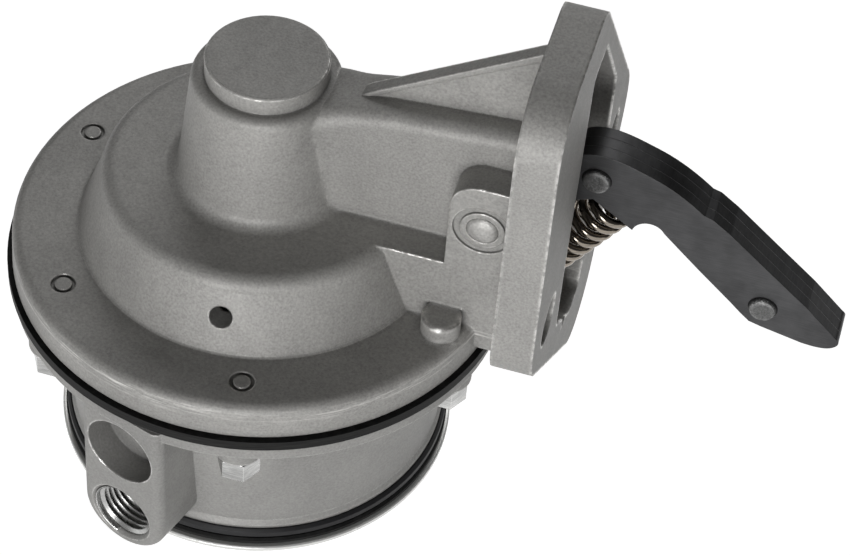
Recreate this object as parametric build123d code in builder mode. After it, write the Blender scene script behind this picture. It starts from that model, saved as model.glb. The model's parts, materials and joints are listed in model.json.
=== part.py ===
# Mechanical fuel pump, rocker-arm type with a side mounting flange.
# Millimetres. Z up, origin on the pump axis at the underside of the cover.
# +X points to the mounting flange, and the rocker arm leaves through it.
import os
from math import atan2, cos, degrees, hypot, radians, sin

from build123d import *

# Heights of the stack, counted up from the underside of the cover
COVER_RIM_Z = 4.0
COVER_T = 1.5
PULSATOR_T = 1.8
GASKET_T = 2.7
BODY_BOTTOM_Z = COVER_RIM_Z + COVER_T + PULSATOR_T + GASKET_T
SPLIT_Z = 54.0
DIAPHRAGM_T = 2.4
CLAMP_Z = SPLIT_Z - DIAPHRAGM_T
LOWER_FLANGE_T = 4.1

# Upper casting, round part
RIM_R = 53.4
RIM_H = 8.4
RIM_ROUND = 2.2
CONE_FOOT_R = 39.0
CONE_TOP_R = 33.4
PLATEAU_H = 25.2
WALL_T = 3.5
PLATEAU_Z = SPLIT_Z + PLATEAU_H
CEILING_Z = PLATEAU_Z - WALL_T
CHAMBER_R = 36.5
TOWER_FOOT_R = 18.0
TOWER_TOP_R = 15.6
TOWER_H = 51.8
TOWER_ROUND = 2.0
PAD_R = 12.8
PAD_H = 55.9
TOWER_BORE_R = 11.5
TOWER_BORE_TOP_Z = SPLIT_Z + 49.0
VENT_R = 2.45
VENT_H = 16.4

# Neck, web and mounting flange
NECK_HALF = 7.3
NECK_H = 54.5
NECK_RISE = 2.7
NECK_DIP = 1.5
NECK_CREST = 2.0
NECK_SHOULDER = 2.7
NECK_SADDLE = 1.4
CHANNEL_HALF = 5.2
CHANNEL_UNDER_EYE = 1.4
CHANNEL_OVER_EYE = 8.4
WEB_T = 2.6
WEB_RIM_T = 3.2
WEB_FOOT_X = 21.5
WEB_FOOT_DROP = 0.7
WEB_TOP_H = 77.8
NECK_ROUND = 3.2
PLATE_BACK_X = 59.6
PLATE_FACE_X = 68.0
POCKET_FLOOR_X = 62.0
BOLT_HALF_SPACING = 28.0
BOLT_H = 31.0
BOLT_HOLE_R = 5.5
EAR_R = 13.9
NEAR_EAR = (-29.4, 33.8, 12.3)
FLANGE_CORNERS = [(-29.2, 82.9, 12.4), (-12.2, 87.5, 8.7), (13.8, 0.3, 14.4)]
POCKET = [(-12.6, 82.0), (-2.0, 82.0), (19.6, 54.5), (19.9, 41.0), (9.0, 3.4), (0.5, 3.4), (-15.6, 16.4)]
POCKET += [(-15.6, 34.0)]
POCKET_ROUND = 2.4
BOX_HALF = 14.5
BOX_LOW_H = 2.5

# Rocker pivot
PIVOT_X = 50.3
PIVOT_H = 37.0
PIVOT_Z = SPLIT_Z + PIVOT_H
PIN_R = 3.3
PIN_CLEAR = 0.05
PIN_DOME = 0.9
PIN_BOSS_HALF = 7.1
PIN_BOSS_H = 11.2
PIN_BOSS_ROUND = 6.0

# Rocker arm laminations
LAM_T = 2.8
ARM_EYE_R = 7.6
RIVET_R = 2.0
RIVET_CLEAR = 0.03
RIVET_POINTS = [(70.2, 48.3, 3.1), (107.7, 24.3, 3.1)]
RIVET_HEAD_H = 1.0

# Link between rocker and pull rod
LINK_T = 2.6
LINK_TIP_H = 34.0
LINK_TIP_R = 2.5
LINK_GAP = 0.3
LINK_RELIEF = 0.9

# Return spring, in the plane of the arm
SEAT_TOP = (74.4, 40.0)
SEAT_LOW = (60.1, 18.6)
RSPRING_R = 4.4
RSPRING_WIRE = 0.95
RSPRING_TURNS = 7.5
SEAT_SPAN = 5.3
SEAT_PILLAR = 13.0
SEAT_SPIGOT = 3.0
SEAT_ROOM = 22.0
SEAT_RING = 0.5
SPRING_CLEAR = 0.4

# Diaphragm stack
DISC_LOW_Z = 48.6
DISC_TOP_Z = DISC_LOW_Z + DIAPHRAGM_T
DIAPHRAGM_R = 54.5
PLATE_R = 30.0
PLATE_T = 1.5
ROD_R = 3.0
ROD_CLEAR = 0.05
STIRRUP_HALF = 4.2
DSPRING_R = 14.0
DSPRING_WIRE = 1.0
DSPRING_TURNS = 4.0

# Flange screws
SCREW_COUNT = 6
SCREW_START = 343.0
SCREW_PCR = 48.4
SCREW_R = 2.5
SCREW_HOLE_R = 2.6
HEAD_AF = 8.0
HEAD_H = 5.0
WASHER_T = 1.2
WASHER_R = 4.3
LUG_R = 5.2
LUG_Z = 45.2
MARK_PCR = 45.6
MARK_R = 2.6
MARK_RING = 0.8
MARK_DEPTH = 0.6
BOSS_AT = (44.4, -17.4)
BOSS_R = 4.2
BOSS_H = 4.2

# Lower casting
LOWER_FLANGE_R = 53.8
WALL_FOOT_R = 41.6
WALL_TOP_R = 44.5
CAVITY_R = 37.4
VALVE_WALL_LOW_Z = 38.0
VALVE_WALL_TOP_Z = 42.0
RIB_HALF = 1.6
HUB_R = 6.5
SCALLOP_R = 5.8
SCALLOP_LOW_Z = 35.5

# Port bosses
PORT_ANGLE = 252.7
PORT_FACE = 53.6
PORT_SIDE = 2.3
PORT_HALF = 10.3
PORT_ROUND = 2.2
PORT_Z = 18.5
PORT_R = 6.9
PORT_MOUTH_R = 7.7
PORT_DEPTH = 12.2
PASSAGE_R = 5.2
RECESS_Z = 39.0
RECESS_R = 8.25
RECESS_DEPTH = 7.0

# Valves
VALVE_SIDE = 17.0
CAGE_R = 8.0
CAGE_BORE_R = 6.7
CAGE_H = 8.4
SEAT_HOLE_R = 4.4
DISC_R = 6.2
DISC_T = 1.0
VALVE_GAP = 0.05
VSPRING_R = 3.4
VSPRING_WIRE = 0.35
BRIDGE_T = 1.2

# Cover
COVER_R = 44.2
COVER_DISH_R = 37.5
COVER_FLOOR_R = 35.5
COVER_RECESS_R = 11.0
COVER_RECESS_H = 4.2
GASKET_R = 43.1
PULSATOR_R = 43.4
COVER_SCREW_R = 2.5
COVER_HEAD_AF = 8.0
COVER_HEAD_H = 3.2

# Heights along the top of the neck, from the tower's shoulder to the foot of the web
SHOULDER_H = NECK_H - NECK_SHOULDER
SADDLE_H = SHOULDER_H - NECK_SADDLE
WEB_FOOT_H = NECK_H - WEB_FOOT_DROP

# Heights of the link's channel, kept clear of the arm's eye
CHANNEL_LOW_H = PIVOT_H - ARM_EYE_R - CHANNEL_UNDER_EYE
CHANNEL_TOP_H = PIVOT_H + ARM_EYE_R + CHANNEL_OVER_EYE

os.makedirs("parts", exist_ok=True)


def up(height):
    return SPLIT_Z + height


def ring_points(count, radius, start):
    step = 360.0 / count
    turns = [radians(start + step * index) for index in range(count)]
    return [(radius * cos(turn), radius * sin(turn)) for turn in turns]


def save(piece, label):
    piece.label = label
    export_step(piece, f"parts/{label}.step")


SCREW_POINTS = ring_points(SCREW_COUNT, SCREW_PCR, SCREW_START)
MARK_POINTS = ring_points(SCREW_COUNT, MARK_PCR, SCREW_START)
ARM_HALF = 1.5 * LAM_T

# Arm outline: x and height above the split plane
ARM_CROWN = [
    (66.0, 53.9),
    (70.3, 55.1),
    (74.5, 54.6),
    (78.8, 53.3),
    (83.1, 51.7),
    (87.6, 49.3),
    (92.6, 45.7),
]
ARM_TOP = [(94.4, 45.2), (98.4, 42.3), (107.1, 35.0), (116.6, 27.1), (123.4, 20.6)]
ARM_TIP = [(123.4, 20.6), (124.2, 19.2), (123.4, 18.0), (120.9, 17.0), (116.8, 17.1)]
ARM_UNDER = [(108.1, 18.9), (105.5, 19.6), (103.5, 21.3), (101.1, 23.6), (93.9, 30.1), (89.2, 34.5)]
ARM_UNDER += [(85.3, 38.2)]
ARM_ARCH = (81.9, 39.9)
ARM_THROAT = (65.6, 41.2)

SPRING_LEN = hypot(SEAT_TOP[0] - SEAT_LOW[0], SEAT_TOP[1] - SEAT_LOW[1])
SPRING_UX = (SEAT_TOP[0] - SEAT_LOW[0]) / SPRING_LEN
SPRING_UZ = (SEAT_TOP[1] - SEAT_LOW[1]) / SPRING_LEN
SEAT_EDGE = (SEAT_TOP[0] - SEAT_SPAN * SPRING_UZ, SEAT_TOP[1] + SEAT_SPAN * SPRING_UX)
SEAT_NOSE = (SEAT_TOP[0] + SEAT_SPAN * SPRING_UZ, SEAT_TOP[1] - SEAT_SPAN * SPRING_UX)
spring_frame = Plane(
    origin=(SEAT_LOW[0], 0, up(SEAT_LOW[1])),
    x_dir=(SPRING_UZ, 0, -SPRING_UX),
    z_dir=(SPRING_UX, 0, SPRING_UZ),
)


def at(points):
    return [(x, up(h)) for x, h in points]


ARM_INNER = [
    SEAT_NOSE,
    SEAT_EDGE,
    ARM_THROAT,
    (57.0, PIVOT_H - ARM_EYE_R + 1.2),
    (51.0, PIVOT_H - ARM_EYE_R),
]
ARM_INNER += [(PIVOT_X - 2.0, PIVOT_H), (51.0, PIVOT_H + ARM_EYE_R), (57.0, PIVOT_H + ARM_EYE_R + 0.6)]
ARM_INNER += [ARM_CROWN[0]]


# Neck: plan shape with concave blends to the tower, under a top that falls to the tower's shoulder
with BuildPart() as neck:
    with BuildSketch(Plane.XY.offset(PLATEAU_Z - 1.0)):
        with BuildLine():
            Polyline((0, TOWER_TOP_R - 2.0), (0, -TOWER_TOP_R + 2.0), (9.4, -11.9))
            ThreePointArc((9.4, -11.9), (13.6, -9.0), (20.5, -NECK_HALF))
            Polyline(
                (20.5, -NECK_HALF),
                (PLATE_BACK_X + 0.5, -NECK_HALF),
                (PLATE_BACK_X + 0.5, NECK_HALF),
                (20.5, NECK_HALF),
            )
            ThreePointArc((20.5, NECK_HALF), (13.6, 9.0), (9.4, 11.9))
            Polyline((9.4, 11.9), (0, TOWER_TOP_R - 2.0))
        make_face()
    extrude(amount=NECK_H + NECK_CREST - PLATEAU_H + 1.0)
    with BuildSketch(Plane.XZ):
        with BuildLine():
            Polyline((-1.0, up(SADDLE_H)), (9.0, up(SADDLE_H)))
            Spline(
                (9.0, up(SADDLE_H)),
                (14.0, up(SHOULDER_H)),
                (20.0, up(NECK_H - NECK_DIP)),
                (28.0, up(NECK_H)),
                tangents=((1, 0), (1, 0.09)),
            )
            Polyline(
                (28.0, up(NECK_H)),
                (PLATE_BACK_X + 1.0, up(NECK_H + NECK_RISE)),
                (PLATE_BACK_X + 1.0, up(NECK_H + 6.0)),
                (-1.0, up(NECK_H + 6.0)),
                (-1.0, up(SADDLE_H)),
            )
        make_face()
    extrude(amount=30.0, both=True, mode=Mode.SUBTRACT)
    crown = neck.edges().filter_by(lambda edge: edge.center().Z > up(SHOULDER_H - 2.0))
    crown = crown.filter_by(lambda edge: abs(edge.center().Y) > NECK_HALF - 0.2 and edge.center().X > 12.0)
    crown = crown.filter_by(lambda edge: edge.length > 3.0 and edge.center().X < PLATE_BACK_X)
    fillet(crown, radius=NECK_ROUND)


# Upper casting
with BuildPart() as upper_body:
    with BuildSketch(Plane.XZ) as casting_section:
        with BuildLine():
            Polyline(
                (0, SPLIT_Z),
                (RIM_R - 0.4, SPLIT_Z),
                (RIM_R, SPLIT_Z + 0.6),
                (RIM_R - 0.2, up(RIM_H) - RIM_ROUND),
            )
            RadiusArc(
                (RIM_R - 0.2, up(RIM_H) - RIM_ROUND),
                (RIM_R - 0.2 - RIM_ROUND, up(RIM_H)),
                -RIM_ROUND,
            )
            Polyline(
                (RIM_R - 0.2 - RIM_ROUND, up(RIM_H)),
                (CONE_FOOT_R + 0.4, up(RIM_H)),
                (CONE_FOOT_R - 0.1, up(RIM_H) + 0.4),
                (CONE_TOP_R + 0.9, PLATEAU_Z - 3.0),
            )
            RadiusArc((CONE_TOP_R + 0.9, PLATEAU_Z - 3.0), (CONE_TOP_R - 2.4, PLATEAU_Z), -3.2)
            Polyline((CONE_TOP_R - 2.4, PLATEAU_Z), (TOWER_FOOT_R + 2.6, PLATEAU_Z))
            RadiusArc((TOWER_FOOT_R + 2.6, PLATEAU_Z), (TOWER_FOOT_R, PLATEAU_Z + 2.8), 2.8)
            Polyline((TOWER_FOOT_R, PLATEAU_Z + 2.8), (TOWER_TOP_R, up(TOWER_H) - TOWER_ROUND))
            RadiusArc(
                (TOWER_TOP_R, up(TOWER_H) - TOWER_ROUND),
                (TOWER_TOP_R - TOWER_ROUND, up(TOWER_H)),
                -TOWER_ROUND,
            )
            Polyline(
                (TOWER_TOP_R - TOWER_ROUND, up(TOWER_H)),
                (PAD_R, up(TOWER_H)),
                (PAD_R, up(PAD_H) - 0.4),
                (PAD_R - 0.4, up(PAD_H)),
                (0, up(PAD_H)),
                (0, SPLIT_Z),
            )
        make_face()
    revolve(axis=Axis.Z)
    # neck between the tower and the mounting flange
    add(neck.part)
    # web on top of the neck with a thicker rim along its slanted edge
    with BuildSketch(Plane.XZ):
        Polygon(
            (WEB_FOOT_X - 5.0, up(WEB_FOOT_H - 5.0)),
            (WEB_FOOT_X, up(WEB_FOOT_H)),
            (PLATE_BACK_X + 0.5, up(WEB_TOP_H - 0.6)),
            (PLATE_BACK_X + 0.5, up(NECK_H - 2.0)),
            align=None,
        )
    extrude(amount=WEB_T / 2, both=True)
    with BuildSketch(Plane.XZ):
        Polygon(
            (WEB_FOOT_X - 2.6, up(WEB_FOOT_H - 2.2)),
            (WEB_FOOT_X, up(WEB_FOOT_H + 0.4)),
            (PLATE_BACK_X + 0.5, up(WEB_TOP_H)),
            (PLATE_BACK_X + 0.5, up(WEB_TOP_H - 2.0)),
            align=None,
        )
    extrude(amount=WEB_RIM_T / 2, both=True)
    # housing of the arm chamber and the pin boss
    with BuildSketch(Plane.XZ):
        Polygon(
            (20.0, up(BOX_LOW_H)),
            (PLATE_BACK_X + 0.5, up(BOX_LOW_H)),
            (PLATE_BACK_X + 0.5, PLATEAU_Z),
            (20.0, PLATEAU_Z),
            align=None,
        )
    extrude(amount=BOX_HALF, both=True)
    with BuildSketch(Plane.XZ) as boss_outline:
        Polygon(
            (PIVOT_X - PIN_BOSS_HALF, PLATEAU_Z - 2.0),
            (PLATE_BACK_X + 0.5, PLATEAU_Z - 2.0),
            (PLATE_BACK_X + 0.5, PIVOT_Z + PIN_BOSS_H),
            (PIVOT_X - PIN_BOSS_HALF, PIVOT_Z + PIN_BOSS_H),
            align=None,
        )
        corner = boss_outline.vertices().sort_by(Axis.X)[:2].sort_by(Axis.Y)[-1]
        fillet(corner, radius=PIN_BOSS_ROUND)
    extrude(amount=BOX_HALF, both=True)
    # mounting flange
    with BuildSketch(Plane.YZ.offset(PLATE_BACK_X)):
        with Locations((BOLT_HALF_SPACING, up(BOLT_H))):
            Circle(EAR_R)
        for y, h, corner_r in [NEAR_EAR] + FLANGE_CORNERS:
            with Locations((y, up(h))):
                Circle(corner_r)
        make_hull()
    extrude(amount=PLATE_FACE_X - PLATE_BACK_X)
    # raised boss on the rim, against the arm housing
    with BuildSketch(Plane.XY.offset(up(RIM_H) - 1.0)):
        with Locations(BOSS_AT):
            Circle(BOSS_R)
    extrude(amount=BOSS_H + 1.0)
    # chamber above the diaphragm and bore of the tower
    with BuildSketch(Plane.XZ):
        Polygon(
            (0, SPLIT_Z),
            (CHAMBER_R, SPLIT_Z),
            (CHAMBER_R - 0.8, SPLIT_Z + 6.0),
            (CONE_TOP_R - WALL_T, CEILING_Z - 3.0),
            (CONE_TOP_R - WALL_T - 3.0, CEILING_Z),
            (TOWER_BORE_R, CEILING_Z),
            (TOWER_BORE_R, TOWER_BORE_TOP_Z - 3.0),
            (TOWER_BORE_R - 3.0, TOWER_BORE_TOP_Z),
            (0, TOWER_BORE_TOP_Z),
            align=None,
        )
    revolve(axis=Axis.Z, mode=Mode.SUBTRACT)
    # pocket in the face of the flange
    with BuildSketch(Plane.YZ.offset(POCKET_FLOOR_X)) as pocket_outline:
        with BuildLine():
            Polyline(*at(POCKET), close=True)
        make_face()
        fillet(pocket_outline.vertices(), radius=POCKET_ROUND)
    extrude(amount=PLATE_FACE_X - POCKET_FLOOR_X + 1.0, mode=Mode.SUBTRACT)
    # channel of the link through the neck, and the arm chamber below it
    with BuildSketch(Plane.XZ):
        Polygon(
            (0, up(CHANNEL_LOW_H)),
            (PLATE_FACE_X, up(CHANNEL_LOW_H)),
            (PLATE_FACE_X, up(CHANNEL_TOP_H)),
            (14.0, up(CHANNEL_TOP_H - 7.0)),
            (0, up(CHANNEL_TOP_H - 7.0)),
            align=None,
        )
    extrude(amount=CHANNEL_HALF, both=True, mode=Mode.SUBTRACT)
    with BuildSketch(Plane.XZ):
        Polygon(
            (43.0, up(7.0)),
            (PLATE_FACE_X, up(7.0)),
            (PLATE_FACE_X, up(CHANNEL_LOW_H + 0.5)),
            (43.0, up(CHANNEL_LOW_H + 0.5)),
            align=None,
        )
    extrude(amount=7.4, both=True, mode=Mode.SUBTRACT)
    # seat of the return spring
    with BuildSketch(spring_frame):
        Circle(RSPRING_R + RSPRING_WIRE + SEAT_RING)
    extrude(amount=-SEAT_PILLAR)
    with BuildSketch(spring_frame):
        Circle(RSPRING_R - RSPRING_WIRE - SPRING_CLEAR)
    extrude(amount=SEAT_SPIGOT)
    with BuildSketch(spring_frame):
        Circle(RSPRING_R + RSPRING_WIRE + SEAT_RING + SPRING_CLEAR)
        Circle(RSPRING_R - RSPRING_WIRE - SPRING_CLEAR, mode=Mode.SUBTRACT)
    extrude(amount=SEAT_ROOM, mode=Mode.SUBTRACT)
    # bore of the pivot pin and the shallow step round its ends
    with BuildSketch(Plane.XZ):
        with Locations((PIVOT_X, PIVOT_Z)):
            Circle(PIN_R + PIN_CLEAR)
    extrude(amount=BOX_HALF + 1.0, both=True, mode=Mode.SUBTRACT)
    for side in (-1, 1):
        with BuildSketch(Plane.XZ.offset(side * BOX_HALF)):
            with Locations((PIVOT_X, PIVOT_Z)):
                Circle(6.2)
                Circle(4.7, mode=Mode.SUBTRACT)
        extrude(amount=-side * 0.5, mode=Mode.SUBTRACT)
    # bolt holes of the flange
    with BuildSketch(Plane.YZ.offset(PLATE_BACK_X - 1.0)):
        with Locations((-BOLT_HALF_SPACING, up(BOLT_H)), (BOLT_HALF_SPACING, up(BOLT_H))):
            Circle(BOLT_HOLE_R)
    extrude(amount=PLATE_FACE_X - PLATE_BACK_X + 2.0, mode=Mode.SUBTRACT)
    # vent through the conical wall
    with BuildSketch(Plane.XZ.offset(25.0)):
        with Locations((2.8, up(VENT_H))):
            Circle(VENT_R)
    extrude(amount=20.0, mode=Mode.SUBTRACT)
    # blind holes of the flange screws
    with BuildSketch(Plane.XY.offset(SPLIT_Z)):
        with Locations(*SCREW_POINTS):
            Circle(SCREW_HOLE_R)
    extrude(amount=RIM_H - 2.2, mode=Mode.SUBTRACT)
    # round cast marks over the other screws
    with BuildSketch(Plane.XY.offset(up(RIM_H) - MARK_DEPTH)):
        with Locations(*MARK_POINTS[1:]):
            Circle(MARK_R)
            Circle(MARK_R - MARK_RING, mode=Mode.SUBTRACT)
    extrude(amount=2.0, mode=Mode.SUBTRACT)
save(upper_body.part, "upper_body")

# Pivot pin with domed ends
with BuildPart() as pivot_pin:
    with BuildSketch(Plane.XZ):
        Polygon(
            (0, -BOX_HALF - PIN_DOME),
            (PIN_R * 0.45, -BOX_HALF - PIN_DOME * 0.9),
            (PIN_R * 0.8, -BOX_HALF - PIN_DOME * 0.55),
            (PIN_R, -BOX_HALF),
            (PIN_R, BOX_HALF),
            (PIN_R * 0.8, BOX_HALF + PIN_DOME * 0.55),
            (PIN_R * 0.45, BOX_HALF + PIN_DOME * 0.9),
            (0, BOX_HALF + PIN_DOME),
            align=None,
        )
    revolve(axis=Axis.Z)
save(Pos(PIVOT_X, 0, PIVOT_Z) * Rot(90, 0, 0) * pivot_pin.part, "pivot_pin")


def arm_plate(start, full):
    with BuildPart() as plate:
        with BuildSketch(Plane.XZ.offset(-start)):
            with BuildLine():
                Spline(*at(ARM_CROWN))
                Polyline(*at([ARM_CROWN[-1]] + ARM_TOP))
                Spline(*at(ARM_TIP))
                Polyline(*at([ARM_TIP[-1]] + ARM_UNDER))
                ThreePointArc(*at([ARM_UNDER[-1], ARM_ARCH, SEAT_NOSE]))
                Polyline(*at(ARM_INNER))
            make_face()
            with Locations((PIVOT_X, PIVOT_Z)):
                Circle(ARM_EYE_R)
                Circle(PIN_R + PIN_CLEAR, mode=Mode.SUBTRACT)
            for x, h, _ in RIVET_POINTS:
                with Locations((x, up(h))):
                    Circle(RIVET_R + RIVET_CLEAR, mode=Mode.SUBTRACT)
            if not full:
                with Locations((PIVOT_X, PIVOT_Z)):
                    Circle(13.0, mode=Mode.SUBTRACT)
        extrude(amount=-LAM_T)
    return plate.part


save(arm_plate(-ARM_HALF, True), "arm_plate_near")
save(arm_plate(-LAM_T / 2, False), "arm_plate_middle")
save(arm_plate(LAM_T / 2, True), "arm_plate_far")

# Rivets through the laminations
with BuildPart() as arm_rivets:
    for x, h, head_r in RIVET_POINTS:
        with BuildSketch(Plane.XZ):
            with Locations((x, up(h))):
                Circle(RIVET_R)
        extrude(amount=ARM_HALF, both=True)
        for side in (-1, 1):
            with BuildSketch(Plane.XZ.offset(side * ARM_HALF)):
                with Locations((x, up(h))):
                    Circle(head_r)
            extrude(amount=side * RIVET_HEAD_H, taper=28)
save(arm_rivets.part, "arm_rivets")

# Link lever on the same pin, its tip in the stirrup of the pull rod
with BuildPart() as link_lever:
    with BuildSketch(Plane.XZ):
        Polygon(
            (0, up(LINK_TIP_H + LINK_TIP_R)),
            (STIRRUP_HALF + 1.0, up(LINK_TIP_H + LINK_TIP_R)),
            (20.0, up(LINK_TIP_H + 5.6)),
            (40.0, up(PIVOT_H + 6.6)),
            (PIVOT_X, up(PIVOT_H + ARM_EYE_R)),
            (PIVOT_X + 9.0, up(PIVOT_H + 7.0)),
            (PIVOT_X + 9.8, up(PIVOT_H + 2.0)),
            (PIVOT_X, up(PIVOT_H - ARM_EYE_R)),
            (40.0, up(PIVOT_H - 6.6)),
            (20.0, up(LINK_TIP_H - 4.2)),
            (STIRRUP_HALF + 1.0, up(LINK_TIP_H - LINK_TIP_R) + LINK_RELIEF),
            (0, up(LINK_TIP_H - LINK_TIP_R)),
            align=None,
        )
        with Locations((0, up(LINK_TIP_H))):
            Circle(LINK_TIP_R)
        with Locations((PIVOT_X, PIVOT_Z)):
            Circle(ARM_EYE_R)
            Circle(PIN_R + PIN_CLEAR, mode=Mode.SUBTRACT)
    extrude(amount=LINK_T / 2, both=True)
save(link_lever.part, "link_lever")

# Pull rod with the stirrup that the link lifts
STIRRUP_LOW_Z = up(LINK_TIP_H - LINK_TIP_R) - LINK_GAP
STIRRUP_TOP_Z = up(LINK_TIP_H + LINK_TIP_R) + LINK_GAP
NUT_H = 2.6
ROD_WASHER_T = 1.0
STACK_LOW_Z = DISC_LOW_Z - PLATE_T - ROD_WASHER_T
with BuildPart() as pull_rod:
    with BuildSketch(Plane.XY.offset(STACK_LOW_Z - NUT_H)):
        Circle(ROD_R)
    extrude(amount=STIRRUP_LOW_Z - 2.0 - STACK_LOW_Z + NUT_H)
    with BuildSketch(Plane.XY.offset(STIRRUP_LOW_Z - 3.0)):
        Rectangle(2 * STIRRUP_HALF - 0.8, 2 * STIRRUP_HALF)
    extrude(amount=STIRRUP_TOP_Z + 3.0 - STIRRUP_LOW_Z + 3.0)
    with BuildSketch(Plane.YZ.offset(-STIRRUP_HALF - 1.0)):
        with Locations((0, (STIRRUP_LOW_Z + STIRRUP_TOP_Z) / 2)):
            Rectangle(LINK_T + 2 * LINK_GAP, STIRRUP_TOP_Z - STIRRUP_LOW_Z)
    extrude(amount=2 * STIRRUP_HALF + 2.0, mode=Mode.SUBTRACT)
    with BuildSketch(Plane.XY.offset(DISC_TOP_Z + PLATE_T)):
        Circle(ROD_R + 2.6)
    extrude(amount=1.8)
save(pull_rod.part, "pull_rod")

# Nut and washer under the diaphragm
with BuildPart() as rod_nut:
    with BuildSketch(Plane.XY.offset(STACK_LOW_Z - NUT_H)):
        RegularPolygon(5.8, 6)
        Circle(ROD_R + ROD_CLEAR, mode=Mode.SUBTRACT)
    extrude(amount=NUT_H)
save(rod_nut.part, "rod_nut")

with BuildPart() as rod_washer:
    with BuildSketch(Plane.XY.offset(STACK_LOW_Z)):
        Circle(8.0)
        Circle(ROD_R + ROD_CLEAR, mode=Mode.SUBTRACT)
    extrude(amount=ROD_WASHER_T)
save(rod_washer.part, "rod_washer")


def dished_plate(face_z, outward):
    with BuildPart() as plate:
        with BuildSketch(Plane.XZ):
            Polygon(
                (ROD_R + ROD_CLEAR, face_z),
                (PLATE_R - 1.0, face_z),
                (PLATE_R + 0.4, face_z + outward * 1.4),
                (PLATE_R - 0.6, face_z + outward * 2.4),
                (PLATE_R - 1.8, face_z + outward * PLATE_T),
                (ROD_R + ROD_CLEAR, face_z + outward * PLATE_T),
                align=None,
            )
        revolve(axis=Axis.Z)
    return plate.part


save(dished_plate(DISC_TOP_Z, 1), "diaphragm_plate_upper")
save(dished_plate(DISC_LOW_Z, -1), "diaphragm_plate_lower")

# Diaphragm: clamped rim, one convolution, flat centre
with BuildPart() as diaphragm:
    with BuildSketch(Plane.XZ):
        Polygon(
            (ROD_R + ROD_CLEAR, DISC_LOW_Z),
            (PLATE_R + 1.2, DISC_LOW_Z),
            (CHAMBER_R + 2.0, CLAMP_Z),
            (DIAPHRAGM_R, CLAMP_Z),
            (DIAPHRAGM_R, SPLIT_Z),
            (CHAMBER_R + 2.6, SPLIT_Z),
            (PLATE_R + 1.8, DISC_TOP_Z),
            (ROD_R + ROD_CLEAR, DISC_TOP_Z),
            align=None,
        )
    revolve(axis=Axis.Z)
    with BuildSketch(Plane.XY.offset(CLAMP_Z)):
        with Locations(*SCREW_POINTS):
            Circle(SCREW_HOLE_R)
    extrude(amount=DIAPHRAGM_T, mode=Mode.SUBTRACT)
save(diaphragm.part, "diaphragm")


def coil(radius, wire, length, turns, sides):
    # round wire wound between two flat ends, drawn with a polygonal section
    with BuildPart() as spring:
        with BuildLine():
            path = Helix(
                pitch=(length - 2 * wire) / turns,
                height=length - 2 * wire,
                radius=radius,
                center=(0, 0, wire),
            )
        with BuildSketch(Plane(origin=path @ 0, z_dir=path % 0)):
            RegularPolygon(wire, sides)
        sweep(path=path, is_frenet=True)
    return spring.part


# Diaphragm spring between the upper plate and the seal retainer
RETAINER_T = 1.2
RETAINER_LOW_Z = CEILING_Z - RETAINER_T
DSPRING_LOW_Z = DISC_TOP_Z + PLATE_T
dspring = coil(DSPRING_R, DSPRING_WIRE, RETAINER_LOW_Z - DSPRING_LOW_Z, DSPRING_TURNS, 6)
save(Pos(0, 0, DSPRING_LOW_Z) * dspring, "diaphragm_spring")

# Return spring of the arm
rspring = coil(RSPRING_R, RSPRING_WIRE, SPRING_LEN, RSPRING_TURNS, 6)
save(spring_frame.location * rspring, "return_spring")

# Oil seal round the rod and its retainer
SEAL_H = 4.0
with BuildPart() as oil_seal:
    with BuildSketch(Plane.XZ):
        Polygon(
            (ROD_R + ROD_CLEAR, CEILING_Z + 1.0),
            (TOWER_BORE_R, CEILING_Z),
            (TOWER_BORE_R, CEILING_Z + SEAL_H),
            (ROD_R + 3.0, CEILING_Z + SEAL_H),
            (ROD_R + ROD_CLEAR, CEILING_Z + SEAL_H - 1.2),
            align=None,
        )
    revolve(axis=Axis.Z)
save(oil_seal.part, "oil_seal")

with BuildPart() as seal_retainer:
    with BuildSketch(Plane.XZ):
        Polygon(
            (ROD_R + 1.5, RETAINER_LOW_Z),
            (DSPRING_R + 2.6, RETAINER_LOW_Z),
            (DSPRING_R + 2.6, RETAINER_LOW_Z + RETAINER_T),
            (ROD_R + 1.5, RETAINER_LOW_Z + RETAINER_T),
            align=None,
        )
    revolve(axis=Axis.Z)
save(seal_retainer.part, "seal_retainer")

# Lower casting
port_dir = Vector(cos(radians(PORT_ANGLE)), sin(radians(PORT_ANGLE)), 0)
side_dir = Vector(-port_dir.Y, port_dir.X, 0)


def port_plane(turn, distance):
    # plane across a port boss; its x runs sideways and its y up
    outward = port_dir * turn
    sideways = side_dir * turn
    return Plane(origin=outward * distance, x_dir=sideways, z_dir=outward)


BOSS_ROOT = 30.0
BOSS_TOP_Z = CLAMP_Z - 1.0
FLANGE_LOW_Z = CLAMP_Z - LOWER_FLANGE_T


# Port boss: round below, straight up to the flange, rounded round its face
def port_boss(turn):
    with BuildPart() as boss:
        with BuildSketch(port_plane(turn, BOSS_ROOT)):
            with Locations((PORT_SIDE, PORT_Z)):
                Circle(PORT_HALF)
            with Locations((PORT_SIDE, (PORT_Z + BOSS_TOP_Z) / 2)):
                Rectangle(2 * PORT_HALF, BOSS_TOP_Z - PORT_Z)
        extrude(amount=PORT_FACE - BOSS_ROOT)
        face = boss.faces().sort_by(Axis((0, 0, 0), port_dir * turn))[-1]
        rim = face.edges().filter_by(lambda edge: edge.center().Z < BOSS_TOP_Z - 0.5)
        fillet(rim, radius=PORT_ROUND)
    return boss.part


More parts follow.
